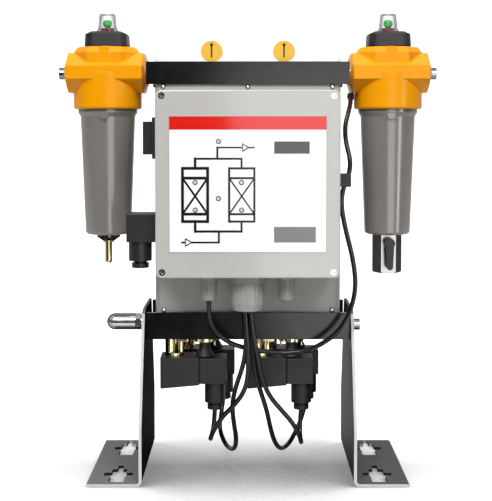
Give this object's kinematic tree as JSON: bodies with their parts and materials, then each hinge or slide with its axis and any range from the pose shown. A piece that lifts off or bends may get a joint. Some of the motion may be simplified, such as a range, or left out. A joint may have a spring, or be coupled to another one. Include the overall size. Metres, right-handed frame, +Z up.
{
  "type": "desiccant air dryer",
  "caption": "Twin-chamber desiccant dryer for compressed air on two folded legs, with a filter at each side, solenoid valves below and a controller box in front.",
  "frame": {"origin": "middle of the footprint on the floor, halfway between the enclosure's front and the feet's rear edges", "axes": "+X to the right seen from the front, +Y to the back, +Z up; the controller box faces -Y"},
  "size_m": [0.395, 0.165, 0.4725],
  "materials": {
    "black_sheet": "satin black powder coat",
    "bright_steel": "bright plated steel",
    "column_paint": "light warm grey paint",
    "bare_aluminium": "machined aluminium",
    "gold_anodised": "gold coloured screw plugs",
    "box_plastic": "light grey moulded box",
    "lid_screw_steel": "bright screws",
    "foil_print": "white foil with a red band and a plain flow diagram",
    "board_green": "lacquered board with components",
    "gland_grey": "grey moulded cable glands",
    "black_plastic": "black moulded plastic",
    "coil_plastic": "charcoal moulded coil and plug",
    "orange_paint": "orange-yellow coated casting",
    "bowl_paint": "warm grey coated casting",
    "clear_dome": "clear moulded dome",
    "indicator_green": "green piston with a red foot",
    "filter_felt": "white filter sleeve",
    "desiccant": "packed desiccant beads",
    "spring_steel": "sprung retaining rings",
    "float_plastic": "white float",
    "brass": "turned brass",
    "cord_sheath": "black flexible sheath"
  },
  "bodies": {
    "dryer": {"bed_springs": "spring_steel", "block_stub": "bright_steel", "check_valve_plugs": "gold_anodised", "circuit_board": "board_green", "column_profile": "column_paint", "cord_clip": "black_plastic", "drain_barb": "brass", "drain_valve_body": "bright_steel", "enclosure_base": "box_plastic", "enclosure_lid": "box_plastic", "frame_screws": "bright_steel", "front_foil": "foil_print", "front_left_cord": "cord_sheath", "front_left_valve_coil": "coil_plastic", "front_left_valve_plug": "coil_plastic", "front_right_cord": "cord_sheath", "front_right_valve_coil": "coil_plastic", "front_right_valve_plug": "coil_plastic", "large_gland": "gland_grey", "left_bowl": "bowl_paint", "left_cartridge": "desiccant", "left_filter_element": "filter_felt", "left_filter_head": "orange_paint", "left_indicator_cap": "black_plastic", "left_indicator_dome": "clear_dome", "left_leg": "black_sheet", "lid_screws": "lid_screw_steel", "lower_block": "bare_aluminium", "lower_front_bar": "black_sheet", "lower_rear_bar": "black_sheet", "port_nipples": "bright_steel", "rear_left_cord": "cord_sheath", "rear_left_valve_coil": "coil_plastic", "rear_left_valve_plug": "coil_plastic", "rear_right_cord": "cord_sheath", "rear_right_valve_coil": "coil_plastic", "rear_right_valve_plug": "coil_plastic", "right_bowl": "bowl_paint", "right_cartridge": "desiccant", "right_filter_element": "filter_felt", "right_filter_head": "orange_paint", "right_indicator_cap": "black_plastic", "right_indicator_dome": "clear_dome", "right_leg": "black_sheet", "sensor_cord": "cord_sheath", "sensor_gland": "black_plastic", "side_plug": "black_plastic", "side_socket": "black_plastic", "silencer": "bright_steel", "small_glands": "gland_grey", "top_front_bar": "black_sheet", "top_rear_bar": "black_sheet", "transfer_nipples": "bright_steel", "upper_block": "bare_aluminium", "valve_bodies": "brass"},
    "lever": {"drain_lever": "black_plastic"},
    "left_piston": {"left_indicator_piston": "indicator_green"},
    "right_piston": {"right_indicator_piston": "indicator_green"},
    "float": {"drain_float": "float_plastic"}
  },
  "joints": [
    {"name": "drain_lever_turn", "type": "hinge", "parent": "dryer", "child": "lever", "pos_m": [0.147, 0.0071, 0.2342], "axis": [0, -1, 0], "range_deg": [0, 90]},
    {"name": "left_indicator_rise", "type": "slide", "parent": "dryer", "child": "left_piston", "axis": [0, 0, 1], "range_m": [0, 0.004], "stiffness_N_per_m": 60, "springref_m": -0.002},
    {"name": "right_indicator_rise", "type": "slide", "parent": "dryer", "child": "right_piston", "axis": [0, 0, 1], "range_m": [0, 0.004], "stiffness_N_per_m": 60, "springref_m": -0.002},
    {"name": "float_rise", "type": "slide", "parent": "dryer", "child": "float", "axis": [0, 0, 1], "range_m": [0, 0.006]}
  ]
}
